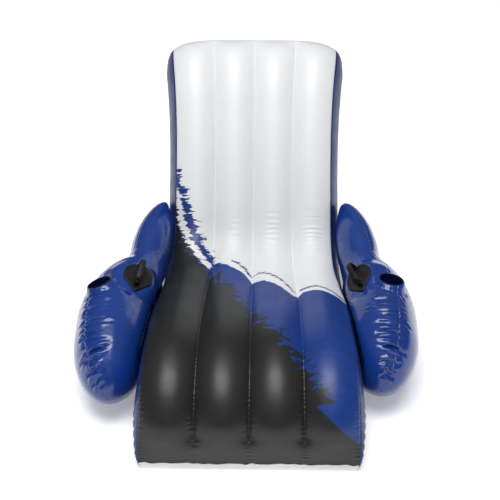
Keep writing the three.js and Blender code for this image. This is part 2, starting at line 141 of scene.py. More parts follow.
def unit(v):
    v = np.asarray(v, float)
    return v / np.linalg.norm(v, axis=-1, keepdims=True)


def frame_at(point, normal, side):
    """Origin, x, y and z axes with z along the normal and x as near as it can be to side."""
    z = unit(normal)
    x = unit(np.asarray(side, float) - np.dot(side, z) * z)
    return np.asarray(point, float), x, np.cross(z, x), z


# ---- mattress ------------------------------------------------------------------------------------
def half_width(t):
    return spline(STATIONS[:, 4:5], t)[..., 0]


def end_fade(t):
    return ease(t, 0, 0.1) * (1 - 0.55 * ease(t, 0.84, 0.93)) * (1 - ease(t, 0.94, 1))


def crown_fade(t):
    return ease(t, 0.8, 0.92) * (1 - ease(t, 0.95, 1))


def arch(share):
    return np.maximum(0, np.sin(np.pi * np.clip(share, 0, 1))) ** 0.8


def line(upper, t):
    return spline(STATIONS[:, 0:2] if upper else STATIONS[:, 2:4], t)


def line_out(upper, t):
    tangent = slope(STATIONS[:, 0:2] if upper else STATIONS[:, 2:4], t)
    sign = 1 if upper else -1
    return np.stack([-tangent[..., 1] * sign, tangent[..., 0] * sign], -1)


def panel_point(upper, across, t, extra=0.0):
    """A point on the upper or lower panel; across runs from -1 to 1, extra stands proud of it."""
    across, t = np.broadcast_arrays(np.asarray(across, float), np.asarray(t, float))
    p, out = line(upper, t), line_out(upper, t)
    share = (across + 1) / 2 * TUBES
    local = share - np.minimum(TUBES - 1, np.floor(share))
    airborne = 1.0 if upper else ease(p[..., 1], 20, 160)
    crown = CROWN * crown_fade(t) * (1 - np.abs(across) ** 5) if upper else 0.0
    rise = (TUBE_RISE * end_fade(t) * arch(local) + crown + extra) * airborne
    z = np.maximum(0, p[..., 1] + out[..., 1] * rise)
    return np.stack([across * half_width(t), p[..., 0] + out[..., 0] * rise, z], -1)


def wall_height(t):
    return np.linalg.norm(line(True, t) - line(False, t), axis=-1)


def wall_swell(t):
    return WALL_BULGE * np.minimum(1, wall_height(t) / 250) * (0.7 + 0.3 * ease(t, 0.3, 0.6))


LIMIT_T = np.linspace(0, 1, 121)
LIMIT_LINE = line(True, LIMIT_T)
LIMIT_OUT = line_out(True, LIMIT_T)
LIMIT_X = half_width(LIMIT_T) + FILM + GAP


def wall_limit(y):
    """The widest a side wall gets at a given y."""
    return np.interp(y, LIMIT_LINE[:, 0], LIMIT_X + wall_swell(LIMIT_T))


def beside_wall(y, z):
    """How far out the mattress reaches at a place beside it: a wall's bulge, or above it its weld line."""
    place = np.stack([np.ravel(y), np.ravel(z)], -1)
    apart = (place[:, :1] - LIMIT_LINE[:, 0]) ** 2 + (place[:, 1:] - LIMIT_LINE[:, 1]) ** 2
    near = apart.argmin(axis=1)
    below = -np.sum((place - LIMIT_LINE[near]) * LIMIT_OUT[near], axis=1)
    t = LIMIT_T[near]
    bulge = wall_swell(t) * np.minimum(1, WALL_CLEAR * arch(below / np.maximum(1, wall_height(t))))
    return (LIMIT_X[near] + bulge).reshape(np.shape(y))


RUN_T = np.linspace(0, 1, 2001)
RUNS = {}
for is_upper in (True, False):
    steps = np.linalg.norm(np.diff(line(is_upper, RUN_T), axis=0), axis=1)
    RUNS[is_upper] = np.concatenate([[0], np.cumsum(steps)])


def run_of(upper, t):
    """Length along a panel's weld line from its front seam, in millimetres."""
    return np.interp(t, RUN_T, RUNS[upper])


# ---- arms ----------------------------------------------------------------------------------------
def pad_at(origin_frame, size):
    return dict(centre=origin_frame[0], normal=origin_frame[3],
                lifted=size["lifted"], flat=size["flat"], blend=size["blend"], fade=size["fade"])


def on_pad(p, pad):
    """Film round a moulding lies on its plane; it is pressed down further out than it is lifted."""
    offset = p - pad["centre"]
    height = offset @ pad["normal"]
    reach = np.linalg.norm(offset - height[..., None] * pad["normal"], axis=-1)
    pressed = ease(reach, pad["flat"], pad["blend"])
    lifted = ease(reach, pad["lifted"], pad["flat"] + pad["fade"])
    fade = np.where(height > 0, pressed, lifted)
    move = np.where(np.abs(height) > pad["blend"], 0, height * (1 - fade))
    return p - move[..., None] * pad["normal"]


class Arm:
    """One inflated arm, worked out on the +X side and mirrored to its own."""

    def __init__(self, config):
        self.__dict__.update(config)
        spine = ARM_STATIONS[:, :3].copy()
        y = spine[:, 1].copy()
        spine[:, 0] += self.front_spread + (self.rear_spread - self.front_spread) * ease(y, -220, -50)
        spine[:, 1] = np.where(y < RELAXED, RELAXED + (y - RELAXED) * self.stretch, y)
        self.spine = spine
        tilt = {k: math.tan(math.radians(v)) for k, v in
                dict(out=self.cup["out"], back=self.cup["back"], inward=self.handle["inward"],
                     forward=self.handle["forward"]).items()}
        self.cup_normal = unit([tilt["out"], tilt["back"], 1])
        self.handle_normal = unit([-tilt["inward"], -tilt["forward"], 1])
        cup, handle = self.cup, self.handle
        self.cup_frame = frame_at([cup["x"], cup["y"], cup["z"]], self.cup_normal, [1, 0, 0])
        self.handle_frame = frame_at([handle["x"], handle["y"], handle["z"]], self.handle_normal, [0, 1, 0])
        angle, t = ARM_VALVE["angle"], ARM_VALVE["t"]
        d = 1e-3
        du = self.bare(angle + d, t) - self.bare(angle - d, t)
        dv = self.bare(angle, t + d) - self.bare(angle, t - d)
        self.valve_frame = frame_at(self.bare(angle, t), -np.cross(du, dv), [0, 1, 0])
        self.pads = [pad_at(self.valve_frame, ARM_VALVE), pad_at(self.handle_frame, HANDLE),
                     pad_at(self.cup_frame, CUP)]
        length = np.linalg.norm(np.diff(spline(spine, RUN_T, True), axis=0), axis=1)
        self.runs = np.concatenate([[0], np.cumsum(length)])

    def run(self, t):
        return np.interp(t, RUN_T, self.runs)

    def bare(self, angle, t):
        """The section before anything presses on it."""
        angle, t = np.broadcast_arrays(np.asarray(angle, float), np.asarray(t, float))
        tangent = slope(self.spine, t, True)
        across = unit(np.array([1.0, 0, 0]) - tangent[..., :1] * tangent)
        up = np.cross(across, tangent)
        end = np.abs(2 * t - 1)
        power = np.where(t < 0.5, ARM_BLUNT["front"], ARM_BLUNT["rear"])
        taper = np.maximum(ARM_TIP, np.sqrt(np.maximum(0, 1 - end**power)))
        wide = spline(ARM_STATIONS[:, 3:4], t)[..., 0] * taper * np.cos(angle)
        high = spline(ARM_STATIONS[:, 4:5], t)[..., 0] * taper * np.sin(angle)
        return spline(self.spine, t, True) + across * wide[..., None] + up * high[..., None]

    def skin(self, angle, t, extra=0.0):
        """The outer face, with creases standing proud of it by extra."""
        p = self.bare(angle, t)
        d = 2e-3
        normal = -np.cross(self.bare(angle + d, t) - self.bare(angle - d, t),
                           self.bare(angle, np.minimum(1, t + d)) - self.bare(angle, np.maximum(0, t - d)))
        normal /= np.maximum(1e-9, np.linalg.norm(normal, axis=-1, keepdims=True))
        p = p + normal * np.asarray(extra)[..., None]
        for pad in self.pads:
            p = on_pad(p, pad)
        clear = p[..., 0] - beside_wall(p[..., 1], p[..., 2]) - ARM_GAP
        p[..., 0] += ARM_SOFT * np.logaddexp(0, -clear / ARM_SOFT)  # leans on the wall without a sharp edge
        p[..., 2] = np.maximum(p[..., 2], 0)
        return p

    def mirrored(self, origin_frame):
        flip = np.array([self.side, 1, 1])
        point, x, _, z = origin_frame
        return frame_at(point * flip, z * flip, x * flip)


# ---- creases -------------------------------------------------------------------------------------
def crease_section(s):
    """Across a crease: a valley with a low ridge on each side, s half widths from its middle."""
    return 0.5 * np.exp(-((s - 1.9) / 0.9) ** 2) - np.exp(-s * s)


def creases(along, away, lines):
    """Height of many creases. A line is (along, from, to, lean, half width, depth), from and to in away."""
    height = np.zeros(np.broadcast(along, away).shape)
    for at, start, end, lean, width, depth in lines:
        s = (along - at - lean * away) / width
        near = (np.abs(s) < 4.5) & (away > start) & (away < end)
        if not near.any():
            continue
        s, a = np.abs(s[near]), away[near]
        soft = 0.28 * (end - start)
        window = ease(a, start, start + soft) * (1 - ease(a, end - soft, end))
        height[near] += depth * window * crease_section(s)
    return height


def scatter(seed, start, end, step, reach, width, depth, lean=0.12, inner=1.0):
    """Seeded creases every step or so between two places, each crossing the line away = 0."""
    rng = np.random.default_rng(seed)
    lines = []
    at = start
    while at < end:
        low, high = rng.uniform(0.45, 1, 2) * reach * (1, inner)
        size = rng.uniform(0.45, 1)
        lines.append((at, -low, high, rng.uniform(-lean, lean), width * rng.uniform(0.7, 1.4), depth * size))
        at += step * rng.uniform(0.6, 1.4)
    return lines


# ---- meshes --------------------------------------------------------------------------------------
def grid_faces(rows, columns, flip=False):
    i = np.arange((rows - 1) * columns).reshape(rows - 1, columns)[:, :-1]
    faces = np.stack([i, i + columns, i + columns + 1, i + 1], -1).reshape(-1, 4)
    return faces[:, ::-1] if flip else faces


def make_mesh(name, points, faces, material, fields=None):
    """A smooth mesh object from points in millimetres, with named point fields."""
    mesh = bpy.data.meshes.new(name)
    places = (np.asarray(points).reshape(-1, 3) / 1000).tolist()
    mesh.from_pydata(places, [], faces.tolist() if isinstance(faces, np.ndarray) else faces)
    for key, values in (fields or {}).items():
        layer = mesh.attributes.new(key, "FLOAT", "POINT")
        layer.data.foreach_set("value", np.asarray(values, np.float32).ravel())
    mesh.shade_smooth()
    mesh.materials.append(material)
    item = bpy.data.objects.new(name, mesh)
    bpy.context.collection.objects.link(item)
    return item


def stand_for(item, body, slot_name, *nodes):
    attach(item, body)
    if nodes:
        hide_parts(*nodes)
    return item


def add_film(name, points, faces, material, slot_name, node, fields=None):
    """A sheet of inflated film: its outer face is the points', its thickness is inside it."""
    item = make_mesh(name, points, faces, material, fields)
    shell = item.modifiers.new("film", "SOLIDIFY")
    shell.thickness = VISIBLE_FILM / 1000
    shell.offset = -1
    shell.use_even_offset = False
    stand_for(item, "float", slot_name, node)
    return item


def lathe(profile, sides=72):
    """Points and faces of a closed (radius, height) outline turned about Z."""
    angles = np.linspace(0, 2 * math.pi, sides, endpoint=False)
    profile = np.asarray(profile, float)
    points = np.stack([
        np.outer(np.cos(angles), profile[:, 0]), np.outer(np.sin(angles), profile[:, 0]),
        np.tile(profile[:, 1], (sides, 1))], -1)
    count = len(profile)
    faces = []
    for i in range(sides):
        for j in range(count):
            a, b = i * count, (i + 1) % sides * count
            k = (j + 1) % count
            faces.append((a + j, b + j, b + k, a + k))
    return points.reshape(-1, 3), faces


def rounded_box(size, centre, radius, segments=3):
    bm = bmesh.new()
    bmesh.ops.create_cube(bm, size=1)
    bmesh.ops.scale(bm, vec=size, verts=bm.verts)
    bmesh.ops.bevel(bm, geom=bm.edges[:], offset=radius, segments=segments, profile=0.5, affect="EDGES")
    bmesh.ops.translate(bm, vec=centre, verts=bm.verts)
    bm.verts.index_update()
    points = np.array([v.co[:] for v in bm.verts])
    faces = [tuple(v.index for v in f.verts) for f in bm.faces]
    bm.free()
    return points, faces


def between_rings(rings, count):
    """Faces that join closed rings of count points, each to the next."""
    faces = []
    for r in range(rings - 1):
        for j in range(count):
            a, b, k = r * count, (r + 1) * count, (j + 1) % count
            faces.append((a + j, a + k, b + k, b + j))
    return faces


def sweep(path, across, out, section):
    """A closed bar: section (across, out) offsets, one outline per path point, with capped ends."""
    rings = len(path)
    count = section.shape[1]
    points = (path[:, None, :] + across[:, None, :] * section[..., :1] + out[:, None, :] * section[..., 1:])
    faces = between_rings(rings, count)
    faces.append(tuple(range(count))[::-1])
    faces.append(tuple((rings - 1) * count + j for j in range(count)))
    return points.reshape(-1, 3), faces


def joined(*parts):
    points, faces, start = [], [], 0
    for p, f in parts:
        points.append(p)
        faces += [tuple(i + start for i in face) for face in f]
        start += len(p)
    return np.concatenate(points), faces


def placed(points, at):
    """Points from a frame's own axes to the row frame."""
    origin, x, y, z = at
    return origin + points[:, :1] * x + points[:, 1:2] * y + points[:, 2:3] * z


def tidy_mesh(item, merge=1e-5):
    """Welds coincident points and turns every face outwards."""
    bm = bmesh.new()
    bm.from_mesh(item.data)
    bmesh.ops.remove_doubles(bm, verts=bm.verts, dist=merge)
    bmesh.ops.recalc_face_normals(bm, faces=bm.faces)
    bm.to_mesh(item.data)
    bm.free()
    return item


def smooth_by_angle(item, degrees):
    """Smooth faces with crisp edges where neighbours meet at more than the angle."""
    bm = bmesh.new()
    bm.from_mesh(item.data)
    for edge in bm.edges:
        if len(edge.link_faces) == 2 and edge.calc_face_angle(0) > math.radians(degrees):
            edge.smooth = False
    bm.to_mesh(item.data)
    bm.free()
    return item


# ---- materials -----------------------------------------------------------------------------------
class Nodes:
    """Short ways to add and join shader nodes."""

    def __init__(self, tree):
        self.tree = tree

    def join(self, value, target):
        if isinstance(value, bpy.types.NodeSocket):
            self.tree.links.new(value, target)
        else:
            target.default_value = value

    def add(self, kind, inputs, output=0, **settings):
        """Adds a node with inputs by name or number, and gives one of its outputs."""
        node = self.tree.nodes.new(kind)
        for key, value in settings.items():
            setattr(node, key, value)
        for key, value in inputs.items():
            self.join(value, node.inputs[key])
        return node.outputs[output]

    def field(self, name):
        return self.add("ShaderNodeAttribute", {}, "Fac", attribute_name=name)

    def place(self, kind="Object"):
        return self.add("ShaderNodeTexCoord", {}, kind)

    def maths(self, kind, a, b=0.0):
        return self.add("ShaderNodeMath", {0: a, 1: b}, operation=kind)

    def step(self, value, low, high, to_low=0.0, to_high=1.0):
        inputs = dict(enumerate((value, low, high, to_low, to_high)))
        return self.add("ShaderNodeMapRange", inputs, interpolation_type="SMOOTHSTEP")

    def vector(self, x, y):
        return self.add("ShaderNodeCombineXYZ", {0: x, 1: y})

    def turned(self, vector, degrees, scale):
        inputs = {"Vector": vector, "Rotation": (0, 0, math.radians(degrees)), "Scale": scale}
        return self.add("ShaderNodeMapping", inputs)

    def noise(self, vector, scale, detail, roughness, distortion=0.0):
        inputs = {"Vector": vector, "Scale": scale, "Detail": detail, "Roughness": roughness,
                  "Distortion": distortion}
        return self.add("ShaderNodeTexNoise", inputs, "Fac")

    def mix(self, share, a, b):
        return self.add("ShaderNodeMix", {0: share, 6: a, 7: b}, 2, data_type="RGBA")


class Look(Nodes):
    """A material with one Principled shader."""

    def __init__(self, name, roughness, coat=0.0, coat_roughness=0.1, ior=1.5):
        self.material = bpy.data.materials.new(name)
        self.material.use_nodes = True
        super().__init__(self.material.node_tree)
        self.shader = self.tree.nodes["Principled BSDF"]
        self.set("Roughness", roughness)
        self.set("IOR", ior)
        self.set("Coat Weight", coat)
        self.set("Coat Roughness", coat_roughness)

    def set(self, socket, value):
        self.join(value, self.shader.inputs[socket])

    def worn(self, scale, colour, dim):
        """The colour, slightly dimmer in places."""
        patches = self.step(self.noise(self.place(), scale, 3, 0.6), 0.3, 0.75)
        return self.mix(patches, colour, [dim * c for c in colour[:3]] + [1])

    def uneven(self, scale, low, high):
        """Roughness that varies between two values."""
        self.set("Roughness", self.step(self.noise(self.place(), scale, 3, 0.6), 0.3, 0.7, low, high))

    def bump(self, scale, distance, strength):
        inputs = {"Strength": strength, "Distance": distance,
                  "Height": self.noise(self.place(), scale, 2, 0.5)}
        self.set("Normal", self.add("ShaderNodeBump", inputs))

    def grain(self, strength=0.25):
        """The slight unevenness of soft film under light pressure."""
        self.bump(38, 0.0012, strength)


BLUE = (0.006, 0.036, 0.220, 1)
DARK_BLUE = (0.004, 0.022, 0.130, 1)
PRINT_BLUE = (0.006, 0.030, 0.165, 1)
DEEP_BLUE = (0.022, 0.050, 0.150, 1)
WHITE = (0.70, 0.705, 0.715, 1)
GREY = (0.0125, 0.013, 0.0125, 1)
# Pale blue painted highlight for the dashes along the arm welds, and the spacing of those dashes below.
WELD_HIGHLIGHT_BLUE = (0.30, 0.38, 0.66, 1)
WELD_HIGHLIGHT_DASH = 0.019  # metres from one dash to the next


def plain_vinyl(name, colour, roughness):
    m = Look(name, roughness, ior=1.38)
    m.set("Base Color", m.worn(6, colour, 0.88))
    m.uneven(14, roughness - 0.03, roughness + 0.06)
    m.grain()
    return m.material


def arm_vinyl(name):
    """Blue film with painted highlight dashes along its heat weld."""
    m = Look(name, 0.25, coat=0.5, coat_roughness=0.12, ior=1.36)
    dash = m.maths("FRACT", m.maths("MULTIPLY", m.field("along"), 1 / WELD_HIGHLIGHT_DASH))
    broken = m.noise(m.vector(m.field("along"), 0.0), 55, 1, 0.5)
    highlight_line = m.step(m.maths("ABSOLUTE", m.field("away")), 0.0011, 0.0024, 1.0, 0.0)
    highlight_dashes = m.maths("MULTIPLY", m.step(dash, 0.30, 0.42), m.step(broken, 0.36, 0.52))
    # The weld line's pale dashes are a painted highlight on the weld's edge.
    weld_highlight = m.maths("MULTIPLY", highlight_line, m.maths("MULTIPLY", highlight_dashes, 0.30))
    m.set("Base Color", m.mix(weld_highlight, m.worn(7, BLUE, 0.86), WELD_HIGHLIGHT_BLUE))
    m.uneven(16, 0.2, 0.3)
    m.grain(0.3)
    return m.material


def printed_vinyl(name):
    """White film with a brushed blue and grey print. Fields give the distance to each colour border."""
    m = Look(name, 0.39, ior=1.43)
    at = m.vector(m.field("side"), m.field("run"))
    strokes = m.noise(m.turned(at, 62, (18, 70, 1)), 1.0, 4, 0.62, 0.6)
    flakes = m.noise(m.turned(at, 35, (21, 33, 1)), 1.0, 6, 0.66, 1.1)
    hairs = m.noise(m.turned(at, 28, (10, 130, 1)), 1.0, 3, 0.6, 0.4)

    def ragged(edge, amount, texture, soft=0.0018):
        shift = m.maths("MULTIPLY", m.maths("SUBTRACT", texture, 0.5), amount)
        return m.step(m.maths("ADD", edge, shift), -soft, soft)

    white = ragged(m.field("white_edge"), m.field("white_rag"), strokes)
    gap = ragged(m.field("gap_edge"), 0.09, strokes)
    thin = ragged(m.field("thin_edge"), 0.040, hairs)
    blue = ragged(m.field("grey_edge"), m.field("grey_rag"), flakes, 0.0030)
    ink = m.mix(blue, GREY, m.mix(m.step(strokes, 0.3, 0.7), PRINT_BLUE, BLUE))
    paper = m.mix(thin, WHITE, DEEP_BLUE)
    m.set("Base Color", m.mix(white, m.mix(gap, ink, WHITE), paper))
    m.uneven(12, 0.36, 0.42)
    m.grain(0.22)
    return m.material


def black_rubber(name):
    m = Look(name, 0.5, ior=1.38)
    m.set("Base Color", (0.006, 0.006, 0.007, 1))
    m.uneven(60, 0.42, 0.56)
    m.bump(420, 0.0003, 0.25)
    return m.material


def valve_plastic(name):
    m = Look(name, 0.3, coat=0.1)
    m.set("Base Color", (0.72, 0.74, 0.76, 1))
    m.set("Subsurface Weight", 0.15)
    m.set("Subsurface Radius", (0.004, 0.004, 0.004))
    m.bump(300, 0.0002, 0.2)
    return m.material


PRINTED = printed_vinyl("printed_vinyl_look")
ARM_BLUE = arm_vinyl("arm_vinyl_look")
WALL_BLUE = plain_vinyl("wall_vinyl_look", DARK_BLUE, 0.36)
BACK_WHITE = plain_vinyl("white_vinyl_look", WHITE, 0.34)
# The cup's liner and floor are a near-black blue: painted shade deep inside the cup.
CUP_SHADE_BLUE = plain_vinyl("cup_shade_vinyl_look", (0.003, 0.008, 0.050, 1), 0.35)
RUBBER = black_rubber("rubber_look")
PLASTIC = valve_plastic("valve_look")


# ---- print layout --------------------------------------------------------------------------------
# Lines in the flat of the panel: (across, run from the front seam). White lies past the first border, and
# grey lies before the second.
WHITE_BORDER = [(-400, 1600), (-330, 1530), (-300, 1430), (-260, 1310), (-205, 1180), (-165, 1110),
                (-140, 1070), (-80, 1020), (-30, 985), (0, 945), (45, 925), (105, 865), (165, 808),
                (205, 842), (275, 818), (325, 788), (400, 740)]
WHITE_REST = [(500, 740), (500, 3000), (-500, 3000)]  # closes the outline of all that is white
GREY_BORDER = [(-400, 1430), (-335, 1390), (-320, 1300), (-290, 1210), (-245, 1120), (-190, 1050),
               (-165, 1000), (-120, 890), (-60, 800), (-10, 700), (35, 590), (95, 480), (160, 390),
               (215, 320), (255, 258), (290, 222), (225, 212), (370, 88), (420, 45)]
GREY_REST = [(420, -100), (-500, -100), (-500, 1430)]
GAP_STROKE = [(-330, 1420), (-305, 1290), (-270, 1190), (-225, 1115), (-190, 1065)]
THIN_STROKES = [[(-85, 1075), (-35, 1040), (-6, 992)],
                [(-6, 992), (30, 1000), (80, 962), (130, 910), (168, 850)],
                [(200, 868), (255, 862), (310, 832), (365, 782)]]
STROKE_HALVES = dict(gap=15, thin=5.5)


def to_line(x, y, points):
    """Distance to a line of points."""
    best = np.full(x.shape, 1e9)
    for (ax, ay), (bx, by) in zip(points, points[1:]):
        dx, dy = bx - ax, by - ay
        s = np.clip(((x - ax) * dx + (y - ay) * dy) / (dx * dx + dy * dy), 0, 1)
        best = np.minimum(best, np.hypot(x - ax - s * dx, y - ay - s * dy))
    return best


def within(x, y, corners):
    """Whether each place is inside a closed outline."""
    odd = np.zeros(x.shape, bool)
    for (ax, ay), (bx, by) in zip(corners, corners[1:] + corners[:1]):
        if ay == by:
            continue
        odd ^= ((ay > y) != (by > y)) & (x < ax + (y - ay) * (bx - ax) / (by - ay))
    return odd


def print_fields(x, run):
    white, grey, gap = (to_line(x, run, points) for points in (WHITE_BORDER, GREY_BORDER, GAP_STROKE))
    thin = np.min([to_line(x, run, points) for points in THIN_STROKES], axis=0)
    white_side = np.where(within(x, run, WHITE_BORDER + WHITE_REST), 1, -1)
    grey_side = np.where(within(x, run, GREY_BORDER + GREY_REST), -1, 1)
    return dict(
        side=x / 1000, run=run / 1000,
        white_edge=white * white_side / 1000, grey_edge=grey * grey_side / 1000,
        gap_edge=(STROKE_HALVES["gap"] - gap) / 1000, thin_edge=(STROKE_HALVES["thin"] - thin) / 1000,
        white_rag=0.024 + 0.13 * (1 - ease(x, -210, -70)), grey_rag=0.34 * ease(run, 205, 300))


# ---- mattress ------------------------------------------------------------------------------------
SEAM_T = 0.0005
PANEL_ROWS = 430
TUBE_COLUMNS = 44
WELD_START = (0.040, 0.068)  # the tubes run into one end pillow before the front seam
WELD_END = (0.905, 0.94)
# Puckers along each weld: (from, to, step, depth), the last reaching nearly to the head.
WELD_PUCKERS = [(20, 420, 13, 2.2), (420, 1000, 24, 0.6), (1000, None, 40, 0.5)]
# Folds at the hip on one tube each: (middle, from, to, step, reach, depth).
HIP_FOLDS = [(262, 1150, 1350, 16, 62, 2.0), (90, 1170, 1340, 22, 46, 1.4), (-70, 1220, 1330, 30, 36, 0.9)]
HIP_BEND = 0.0016  # how fast a hip fold curves away from its middle


def panel_creases(x, run, upper):
    """Small puckers at the welds and edges, and folds where the tubes bend at the hip."""
    height = np.zeros(x.shape)
    half = half_width(np.interp(run, RUNS[upper], RUN_T))
    for k in range(TUBES + 1):
        beside = x - (k / TUBES * 2 - 1) * half
        for part, (start, end, step, depth) in enumerate(WELD_PUCKERS):
            seed = 100 + 10 * k + part + 50 * upper
            lines = scatter(seed, start, end or RUNS[upper][-1] - 20, step, 26, 3.6, depth)
            height += creases(run, beside, lines)
    if upper:
        rng = np.random.default_rng(8)
        for middle, low, high, step, reach, depth in HIP_FOLDS:
            at = low
            while at < high:
                bend = HIP_BEND * (x - middle) ** 2
                lines = [(at, -reach, reach, rng.uniform(-0.1, 0.1), 5.5, depth * rng.uniform(0.5, 1))]
                height += creases(run + bend, x - middle, lines)
                at += step * rng.uniform(0.8, 1.5)
    return height


def panel_sheet(upper):
    across = np.linspace(-1, 1, TUBES * TUBE_COLUMNS + 1)
    t = SEAM_T + (1 - 2 * SEAM_T) * np.linspace(0, 1, PANEL_ROWS)
    t, across = np.meshgrid(t, across, indexing="ij")
    x, run = across * half_width(t), run_of(upper, t)
    pillow = (1 - ease(t, *WELD_START)) + ease(t, *WELD_END)
    share = (across + 1) / 2 * TUBES
    local = share - np.minimum(TUBES - 1, np.floor(share))
    full = TUBE_RISE * end_fade(t) * (1 - np.abs(across) ** 10) * 0.86
    extra = pillow * (full - TUBE_RISE * end_fade(t) * arch(local))
    extra = extra + panel_creases(x, run, upper) * ease(run, 4, 30)
    points = panel_point(upper, across, t, extra)
    ripple = 2.6 * np.sin(x / 17 + 2.1 * np.sin(x / 47)) + 1.4 * np.sin(x / 7.3 + 1.3 * np.sin(x / 29))
    points[..., 2] += ripple * (1 - ease(run, 2, 34)) * np.minimum(1, points[..., 2] / 30)
    return t, x, run, points


def body_valve_frame():
    across, t = (BODY_VALVE["tube"] + 0.5) / TUBES * 2 - 1, BODY_VALVE["t"]
    d = 1e-3
    du = panel_point(False, across + d, t) - panel_point(False, across - d, t)
    dv = panel_point(False, across, t + d) - panel_point(False, across, t - d)
    return frame_at(panel_point(False, across, t), -np.cross(du, dv), [1, 0, 0])


def drop_disc(points, faces, at, radius, reach=60):
    """Opens a round hole along the frame's z: faces inside go, and the rim moves onto the circle."""
    origin, x, y, z = at
    flat = points.reshape(-1, 3).copy()
    offset = flat - origin
    px, py, pz = offset @ x, offset @ y, offset @ z
    reach_out = np.hypot(px, py)
    inside = (reach_out < radius) & (np.abs(pz) < reach)
    faces = faces[~inside[faces].all(axis=1)]
    rim = inside & np.isin(np.arange(len(flat)), faces)
    grow = (radius / np.maximum(reach_out, 1e-6) - 1)[rim][:, None]
    flat[rim] += (px[rim][:, None] * x + py[rim][:, None] * y) * grow
    return flat, faces


def keep_used(points, faces, fields):
    """Drops points that no face uses."""
    used, faces = np.unique(faces, return_inverse=True)
    return points[used], faces.reshape(-1, 4), {k: np.ravel(v)[used] for k, v in fields.items()}


def build_mattress():
    t, x, run, points = panel_sheet(True)
    rows, columns = t.shape
    add_film("top_panel_film", points, grid_faces(rows, columns), PRINTED, "printed_vinyl", "top_panel",
             print_fields(x, run))

    t, x, run, points = panel_sheet(False)
    valve_at = body_valve_frame()
    points = np.where((t > 0.5)[..., None], on_pad(points, pad_at(valve_at, BODY_VALVE)), points)
    bore = VALVE["bore"] * BODY_VALVE["size"]
    points, faces = drop_disc(points, grid_faces(rows, columns, True), valve_at, bore)
    points, faces, _ = keep_used(points, faces, {})
    add_film("bottom_panel_film", points, faces, BACK_WHITE, "white_vinyl", "bottom_panel")
    return valve_at


def build_wall(side, name):
    share = np.linspace(0, 1, 61)
    t = np.linspace(0.006, 0.994, PANEL_ROWS)
    t, share = np.meshgrid(t, share, indexing="ij")
    top, low = line(True, t), line(False, t)
    height = np.maximum(1, np.linalg.norm(top - low, axis=-1))
    edge = np.minimum(0.4, 1.2 / height)
    v = edge + (1 - 2 * edge) * share
    run, drop = run_of(True, t), v * height
    lines = scatter(31 + side, 30, 700, 30, 62, 5, 2.4, 0.5)
    lines += scatter(41 + side, 700, 2100, 75, 40, 6, 0.4, 0.3)
    slanted = [(70 + 34 * k, 20, 120 + 12 * k, 0.55, 6.5, 2.0) for k in range(5)]
    fold = creases(run, drop, lines) + creases(run, height - drop, lines[::2]) + creases(run, drop, slanted)
    fold *= arch(share) ** 0.5
    bulge = wall_swell(t) * arch(share) + fold * np.minimum(1, height / 120)
    middle = top * (1 - v[..., None]) + low * v[..., None]
    points = np.stack([side * (half_width(t) + GAP + bulge), middle[..., 0], middle[..., 1]], -1)
    faces = grid_faces(*t.shape, flip=side > 0)
    add_film(f"{name}_side_wall_film", points, faces, WALL_BLUE, "blue_vinyl", f"{name}_side_wall")


def build_head_hem():
    """The narrow welded hem where the upper and lower panels meet at the head."""
    reach, width, steps = 4.0, 3.0, 10
    end = np.array([1.0])
    x = np.linspace(-0.995, 0.995, 240) * half_width(end)[0]
    wave = 1.1 * np.sin(x / 13 + 1.7 * np.sin(x / 41)) + 0.7 * np.sin(x / 5.3)
    middle = (line(True, end)[0] + line(False, end)[0]) / 2
    points = np.stack([x, middle[0] + reach * 0.35 + np.zeros_like(x), middle[1] + wave * 0.7], -1)
    tangent = unit(np.gradient(points, axis=0))
    outward = np.tile([0, 1, 0.12], (len(x), 1))
    out = unit(outward - np.sum(outward * tangent, axis=1, keepdims=True) * tangent)
    turn = np.linspace(0, 2 * math.pi, steps, endpoint=False)
    section = np.stack([np.cos(turn) * width / 2, np.sin(turn) * reach], -1)
    section = np.broadcast_to(section, (len(points), steps, 2))
    points, faces = sweep(points, np.cross(tangent, out), out, section)
    hem = tidy_mesh(make_mesh("head_hem", points, faces, BACK_WHITE))
    stand_for(hem, "float", "white_vinyl")


def build_webs():
    for name, across in (("left", 0.5), ("centre", 0.0), ("right", -0.5)):
        t = np.linspace(0.10, 0.90, 120)
        share = np.linspace(0.02, 0.98, 12)
        t, share = np.meshgrid(t, share, indexing="ij")
        top, low = line(True, t), line(False, t)
        middle = top * (1 - share[..., None]) + low * share[..., None]
        sway = 1.5 * np.sin(run_of(True, t) / 60) * np.sin(np.pi * share)
        points = np.stack([across * half_width(t) + GAP + sway, middle[..., 0], middle[..., 1]], -1)
        add_film(f"web_{name}_film", points, grid_faces(*t.shape), BACK_WHITE, "web_vinyl",
                 f"i_beam_web_{name}")


# ---- arms ----------------------------------------------------------------------------------------
ARM_ROWS = 330
ARM_COLUMNS = 250
# Deep folds crossing the seam: (run, from, to, lean, half width, depth); away is towards the seat.
DEEP_FOLDS = {
    "left": [(189, -70, 50, 0.10, 5.0, 5.0), (94, -70, 70, 0.06, 5.5, 6.0), (54, -50, 60, -0.1, 5.0, 4.5),
             (26, -60, 70, 0.08, 5.5, 6.0)],
    "right": [(106, -80, 130, 0.12, 6.0, 7.5), (60, -60, 100, 0.1, 5.0, 5.0), (34, -70, 110, 0.12, 6.0, 7.0),
              (18, -60, 90, 0.1, 5.0, 5.0)],
}
PUCKERED = {"left": 305, "right": 372}  # the run where the cup begins and the puckers end
CUP_PUCKERS = 26
ARM_GIRTH = 150  # millimetres along the section for each radian
STRIP = dict(front=-540, rear=40, low=96, high=170, out=2.4)


